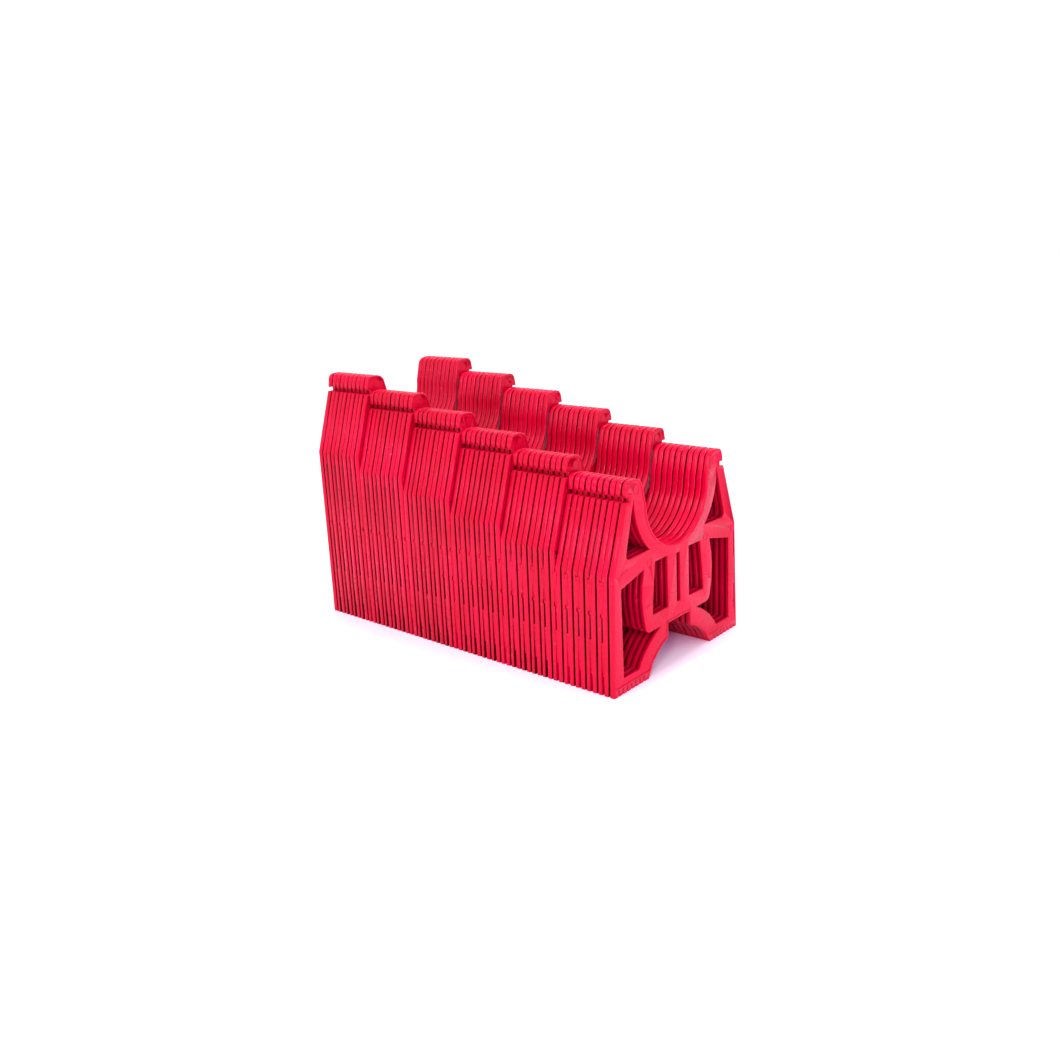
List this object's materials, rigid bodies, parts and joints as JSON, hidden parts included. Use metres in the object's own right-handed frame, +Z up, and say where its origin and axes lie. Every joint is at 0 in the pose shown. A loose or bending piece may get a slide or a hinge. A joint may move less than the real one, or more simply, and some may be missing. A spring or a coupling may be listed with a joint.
{
  "type": "folding sewer hose support",
  "caption": "Folding hose support: thin moulded cradle panels hinged edge to edge like a bellows, stepping down in height so that a drain hose slopes.",
  "frame": {"origin": "centre of the folded stack's footprint, on the ground under the feet", "axes": "+X along the folded stack towards its short end, +Y across it, +Z up"},
  "size_m": [0.3596, 0.19, 0.2396],
  "materials": {
    "red_plastic": "satin"
  },
  "bodies": {
    "panel_01": {"panel_01": "red_plastic"},
    "panel_02": {"panel_02": "red_plastic"},
    "panel_03": {"panel_03": "red_plastic"},
    "panel_04": {"panel_04": "red_plastic"},
    "panel_05": {"panel_05": "red_plastic"},
    "panel_06": {"panel_06": "red_plastic"},
    "panel_07": {"panel_07": "red_plastic"},
    "panel_08": {"panel_08": "red_plastic"},
    "panel_09": {"panel_09": "red_plastic"},
    "panel_10": {"panel_10": "red_plastic"},
    "panel_11": {"panel_11": "red_plastic"},
    "panel_12": {"panel_12": "red_plastic"},
    "panel_13": {"panel_13": "red_plastic"},
    "panel_14": {"panel_14": "red_plastic"},
    "panel_15": {"panel_15": "red_plastic"},
    "panel_16": {"panel_16": "red_plastic"},
    "panel_17": {"panel_17": "red_plastic"},
    "panel_18": {"panel_18": "red_plastic"},
    "panel_19": {"panel_19": "red_plastic"},
    "panel_20": {"panel_20": "red_plastic"},
    "panel_21": {"panel_21": "red_plastic"},
    "panel_22": {"panel_22": "red_plastic"},
    "panel_23": {"panel_23": "red_plastic"},
    "panel_24": {"panel_24": "red_plastic"},
    "panel_25": {"panel_25": "red_plastic"},
    "panel_26": {"panel_26": "red_plastic"},
    "panel_27": {"panel_27": "red_plastic"},
    "panel_28": {"panel_28": "red_plastic"},
    "panel_29": {"panel_29": "red_plastic"},
    "panel_30": {"panel_30": "red_plastic"},
    "panel_31": {"panel_31": "red_plastic"},
    "panel_32": {"panel_32": "red_plastic"},
    "panel_33": {"panel_33": "red_plastic"},
    "panel_34": {"panel_34": "red_plastic"},
    "panel_35": {"panel_35": "red_plastic"},
    "panel_36": {"panel_36": "red_plastic"},
    "panel_37": {"panel_37": "red_plastic"},
    "panel_38": {"panel_38": "red_plastic"},
    "panel_39": {"panel_39": "red_plastic"},
    "panel_40": {"panel_40": "red_plastic"},
    "panel_41": {"panel_41": "red_plastic"},
    "panel_42": {"panel_42": "red_plastic"},
    "panel_43": {"panel_43": "red_plastic"},
    "panel_44": {"panel_44": "red_plastic"},
    "panel_45": {"panel_45": "red_plastic"},
    "panel_46": {"panel_46": "red_plastic"},
    "panel_47": {"panel_47": "red_plastic"},
    "panel_48": {"panel_48": "red_plastic"},
    "panel_49": {"panel_49": "red_plastic"},
    "panel_50": {"panel_50": "red_plastic"},
    "panel_51": {"panel_51": "red_plastic"},
    "panel_52": {"panel_52": "red_plastic"},
    "panel_53": {"panel_53": "red_plastic"},
    "panel_54": {"panel_54": "red_plastic"},
    "panel_55": {"panel_55": "red_plastic"},
    "panel_56": {"panel_56": "red_plastic"},
    "panel_57": {"panel_57": "red_plastic"},
    "panel_58": {"panel_58": "red_plastic"},
    "panel_59": {"panel_59": "red_plastic"},
    "panel_60": {"panel_60": "red_plastic"}
  },
  "joints": [
    {"name": "hinge_01_02", "type": "hinge", "parent": "panel_02", "child": "panel_01", "pos_m": [-0.174, 0.0917, 0.0565], "axis": [0, 0, -1], "range_deg": [0, 49]},
    {"name": "hinge_02_03", "type": "hinge", "parent": "panel_03", "child": "panel_02", "pos_m": [-0.168, -0.0917, 0.0565], "axis": [0, 0, 1], "range_deg": [0, 49]},
    {"name": "hinge_03_04", "type": "hinge", "parent": "panel_04", "child": "panel_03", "pos_m": [-0.162, 0.0917, 0.0565], "axis": [0, 0, -1], "range_deg": [0, 49]},
    {"name": "hinge_04_05", "type": "hinge", "parent": "panel_05", "child": "panel_04", "pos_m": [-0.156, -0.0917, 0.0565], "axis": [0, 0, 1], "range_deg": [0, 49]},
    {"name": "hinge_05_06", "type": "hinge", "parent": "panel_06", "child": "panel_05", "pos_m": [-0.15, 0.0917, 0.0565], "axis": [0, 0, -1], "range_deg": [0, 49]},
    {"name": "hinge_06_07", "type": "hinge", "parent": "panel_07", "child": "panel_06", "pos_m": [-0.144, -0.0917, 0.0565], "axis": [0, 0, 1], "range_deg": [0, 49]},
    {"name": "hinge_07_08", "type": "hinge", "parent": "panel_08", "child": "panel_07", "pos_m": [-0.138, 0.0917, 0.0565], "axis": [0, 0, -1], "range_deg": [0, 49]},
    {"name": "hinge_08_09", "type": "hinge", "parent": "panel_09", "child": "panel_08", "pos_m": [-0.132, -0.0917, 0.0565], "axis": [0, 0, 1], "range_deg": [0, 49]},
    {"name": "hinge_09_10", "type": "hinge", "parent": "panel_10", "child": "panel_09", "pos_m": [-0.126, 0.0917, 0.0565], "axis": [0, 0, -1], "range_deg": [0, 49]},
    {"name": "hinge_10_11", "type": "hinge", "parent": "panel_11", "child": "panel_10", "pos_m": [-0.12, -0.0917, 0.0565], "axis": [0, 0, 1], "range_deg": [0, 49]},
    {"name": "hinge_11_12", "type": "hinge", "parent": "panel_12", "child": "panel_11", "pos_m": [-0.114, 0.0917, 0.0565], "axis": [0, 0, -1], "range_deg": [0, 49]},
    {"name": "hinge_12_13", "type": "hinge", "parent": "panel_13", "child": "panel_12", "pos_m": [-0.108, -0.0917, 0.0565], "axis": [0, 0, 1], "range_deg": [0, 49]},
    {"name": "hinge_13_14", "type": "hinge", "parent": "panel_14", "child": "panel_13", "pos_m": [-0.102, 0.0917, 0.0565], "axis": [0, 0, -1], "range_deg": [0, 49]},
    {"name": "hinge_14_15", "type": "hinge", "parent": "panel_15", "child": "panel_14", "pos_m": [-0.096, -0.0917, 0.0565], "axis": [0, 0, 1], "range_deg": [0, 49]},
    {"name": "hinge_15_16", "type": "hinge", "parent": "panel_16", "child": "panel_15", "pos_m": [-0.09, 0.0917, 0.0565], "axis": [0, 0, -1], "range_deg": [0, 49]},
    {"name": "hinge_16_17", "type": "hinge", "parent": "panel_17", "child": "panel_16", "pos_m": [-0.084, -0.0917, 0.0565], "axis": [0, 0, 1], "range_deg": [0, 49]},
    {"name": "hinge_17_18", "type": "hinge", "parent": "panel_18", "child": "panel_17", "pos_m": [-0.078, 0.0917, 0.0565], "axis": [0, 0, -1], "range_deg": [0, 49]},
    {"name": "hinge_18_19", "type": "hinge", "parent": "panel_19", "child": "panel_18", "pos_m": [-0.072, -0.0917, 0.0565], "axis": [0, 0, 1], "range_deg": [0, 49]},
    {"name": "hinge_19_20", "type": "hinge", "parent": "panel_20", "child": "panel_19", "pos_m": [-0.066, 0.0917, 0.0565], "axis": [0, 0, -1], "range_deg": [0, 49]},
    {"name": "hinge_20_21", "type": "hinge", "parent": "panel_21", "child": "panel_20", "pos_m": [-0.06, -0.0917, 0.0565], "axis": [0, 0, 1], "range_deg": [0, 49]},
    {"name": "hinge_21_22", "type": "hinge", "parent": "panel_22", "child": "panel_21", "pos_m": [-0.054, 0.0917, 0.0565], "axis": [0, 0, -1], "range_deg": [0, 49]},
    {"name": "hinge_22_23", "type": "hinge", "parent": "panel_23", "child": "panel_22", "pos_m": [-0.048, -0.0917, 0.0565], "axis": [0, 0, 1], "range_deg": [0, 49]},
    {"name": "hinge_23_24", "type": "hinge", "parent": "panel_24", "child": "panel_23", "pos_m": [-0.042, 0.0917, 0.0565], "axis": [0, 0, -1], "range_deg": [0, 49]},
    {"name": "hinge_24_25", "type": "hinge", "parent": "panel_25", "child": "panel_24", "pos_m": [-0.036, -0.0917, 0.0565], "axis": [0, 0, 1], "range_deg": [0, 49]},
    {"name": "hinge_25_26", "type": "hinge", "parent": "panel_26", "child": "panel_25", "pos_m": [-0.03, 0.0917, 0.0565], "axis": [0, 0, -1], "range_deg": [0, 49]},
    {"name": "hinge_26_27", "type": "hinge", "parent": "panel_27", "child": "panel_26", "pos_m": [-0.024, -0.0917, 0.0565], "axis": [0, 0, 1], "range_deg": [0, 49]},
    {"name": "hinge_27_28", "type": "hinge", "parent": "panel_28", "child": "panel_27", "pos_m": [-0.018, 0.0917, 0.0565], "axis": [0, 0, -1], "range_deg": [0, 49]},
    {"name": "hinge_28_29", "type": "hinge", "parent": "panel_29", "child": "panel_28", "pos_m": [-0.012, -0.0917, 0.0565], "axis": [0, 0, 1], "range_deg": [0, 49]},
    {"name": "hinge_29_30", "type": "hinge", "parent": "panel_30", "child": "panel_29", "pos_m": [-0.006, 0.0917, 0.0565], "axis": [0, 0, -1], "range_deg": [0, 49]},
    {"name": "hinge_30_31", "type": "hinge", "parent": "panel_30", "child": "panel_31", "pos_m": [0, -0.0917, 0.0565], "axis": [0, 0, -1], "range_deg": [0, 49]},
    {"name": "hinge_31_32", "type": "hinge", "parent": "panel_31", "child": "panel_32", "pos_m": [0.006, 0.0917, 0.0565], "axis": [0, 0, 1], "range_deg": [0, 49]},
    {"name": "hinge_32_33", "type": "hinge", "parent": "panel_32", "child": "panel_33", "pos_m": [0.012, -0.0917, 0.0565], "axis": [0, 0, -1], "range_deg": [0, 49]},
    {"name": "hinge_33_34", "type": "hinge", "parent": "panel_33", "child": "panel_34", "pos_m": [0.018, 0.0917, 0.0565], "axis": [0, 0, 1], "range_deg": [0, 49]},
    {"name": "hinge_34_35", "type": "hinge", "parent": "panel_34", "child": "panel_35", "pos_m": [0.024, -0.0917, 0.0565], "axis": [0, 0, -1], "range_deg": [0, 49]},
    {"name": "hinge_35_36", "type": "hinge", "parent": "panel_35", "child": "panel_36", "pos_m": [0.03, 0.0917, 0.0565], "axis": [0, 0, 1], "range_deg": [0, 49]},
    {"name": "hinge_36_37", "type": "hinge", "parent": "panel_36", "child": "panel_37", "pos_m": [0.036, -0.0917, 0.0565], "axis": [0, 0, -1], "range_deg": [0, 49]},
    {"name": "hinge_37_38", "type": "hinge", "parent": "panel_37", "child": "panel_38", "pos_m": [0.042, 0.0917, 0.0565], "axis": [0, 0, 1], "range_deg": [0, 49]},
    {"name": "hinge_38_39", "type": "hinge", "parent": "panel_38", "child": "panel_39", "pos_m": [0.048, -0.0917, 0.0565], "axis": [0, 0, -1], "range_deg": [0, 49]},
    {"name": "hinge_39_40", "type": "hinge", "parent": "panel_39", "child": "panel_40", "pos_m": [0.054, 0.0917, 0.0565], "axis": [0, 0, 1], "range_deg": [0, 49]},
    {"name": "hinge_40_41", "type": "hinge", "parent": "panel_40", "child": "panel_41", "pos_m": [0.06, -0.0917, 0.0565], "axis": [0, 0, -1], "range_deg": [0, 49]},
    {"name": "hinge_41_42", "type": "hinge", "parent": "panel_41", "child": "panel_42", "pos_m": [0.066, 0.0917, 0.0565], "axis": [0, 0, 1], "range_deg": [0, 49]},
    {"name": "hinge_42_43", "type": "hinge", "parent": "panel_42", "child": "panel_43", "pos_m": [0.072, -0.0917, 0.0565], "axis": [0, 0, -1], "range_deg": [0, 49]},
    {"name": "hinge_43_44", "type": "hinge", "parent": "panel_43", "child": "panel_44", "pos_m": [0.078, 0.0917, 0.0565], "axis": [0, 0, 1], "range_deg": [0, 49]},
    {"name": "hinge_44_45", "type": "hinge", "parent": "panel_44", "child": "panel_45", "pos_m": [0.084, -0.0917, 0.0565], "axis": [0, 0, -1], "range_deg": [0, 49]},
    {"name": "hinge_45_46", "type": "hinge", "parent": "panel_45", "child": "panel_46", "pos_m": [0.09, 0.0917, 0.0565], "axis": [0, 0, 1], "range_deg": [0, 49]},
    {"name": "hinge_46_47", "type": "hinge", "parent": "panel_46", "child": "panel_47", "pos_m": [0.096, -0.0917, 0.0565], "axis": [0, 0, -1], "range_deg": [0, 49]},
    {"name": "hinge_47_48", "type": "hinge", "parent": "panel_47", "child": "panel_48", "pos_m": [0.102, 0.0917, 0.0565], "axis": [0, 0, 1], "range_deg": [0, 49]},
    {"name": "hinge_48_49", "type": "hinge", "parent": "panel_48", "child": "panel_49", "pos_m": [0.108, -0.0917, 0.0565], "axis": [0, 0, -1], "range_deg": [0, 49]},
    {"name": "hinge_49_50", "type": "hinge", "parent": "panel_49", "child": "panel_50", "pos_m": [0.114, 0.0917, 0.0565], "axis": [0, 0, 1], "range_deg": [0, 49]},
    {"name": "hinge_50_51", "type": "hinge", "parent": "panel_50", "child": "panel_51", "pos_m": [0.12, -0.0917, 0.0565], "axis": [0, 0, -1], "range_deg": [0, 49]},
    {"name": "hinge_51_52", "type": "hinge", "parent": "panel_51", "child": "panel_52", "pos_m": [0.126, 0.0917, 0.0565], "axis": [0, 0, 1], "range_deg": [0, 49]},
    {"name": "hinge_52_53", "type": "hinge", "parent": "panel_52", "child": "panel_53", "pos_m": [0.132, -0.0917, 0.0565], "axis": [0, 0, -1], "range_deg": [0, 49]},
    {"name": "hinge_53_54", "type": "hinge", "parent": "panel_53", "child": "panel_54", "pos_m": [0.138, 0.0917, 0.0565], "axis": [0, 0, 1], "range_deg": [0, 49]},
    {"name": "hinge_54_55", "type": "hinge", "parent": "panel_54", "child": "panel_55", "pos_m": [0.144, -0.0917, 0.0565], "axis": [0, 0, -1], "range_deg": [0, 49]},
    {"name": "hinge_55_56", "type": "hinge", "parent": "panel_55", "child": "panel_56", "pos_m": [0.15, 0.0917, 0.0565], "axis": [0, 0, 1], "range_deg": [0, 49]},
    {"name": "hinge_56_57", "type": "hinge", "parent": "panel_56", "child": "panel_57", "pos_m": [0.156, -0.0917, 0.0565], "axis": [0, 0, -1], "range_deg": [0, 49]},
    {"name": "hinge_57_58", "type": "hinge", "parent": "panel_57", "child": "panel_58", "pos_m": [0.162, 0.0917, 0.0565], "axis": [0, 0, 1], "range_deg": [0, 49]},
    {"name": "hinge_58_59", "type": "hinge", "parent": "panel_58", "child": "panel_59", "pos_m": [0.168, -0.0917, 0.0565], "axis": [0, 0, -1], "range_deg": [0, 49]},
    {"name": "hinge_59_60", "type": "hinge", "parent": "panel_59", "child": "panel_60", "pos_m": [0.174, 0.0917, 0.0565], "axis": [0, 0, 1], "range_deg": [0, 49]}
  ]
}
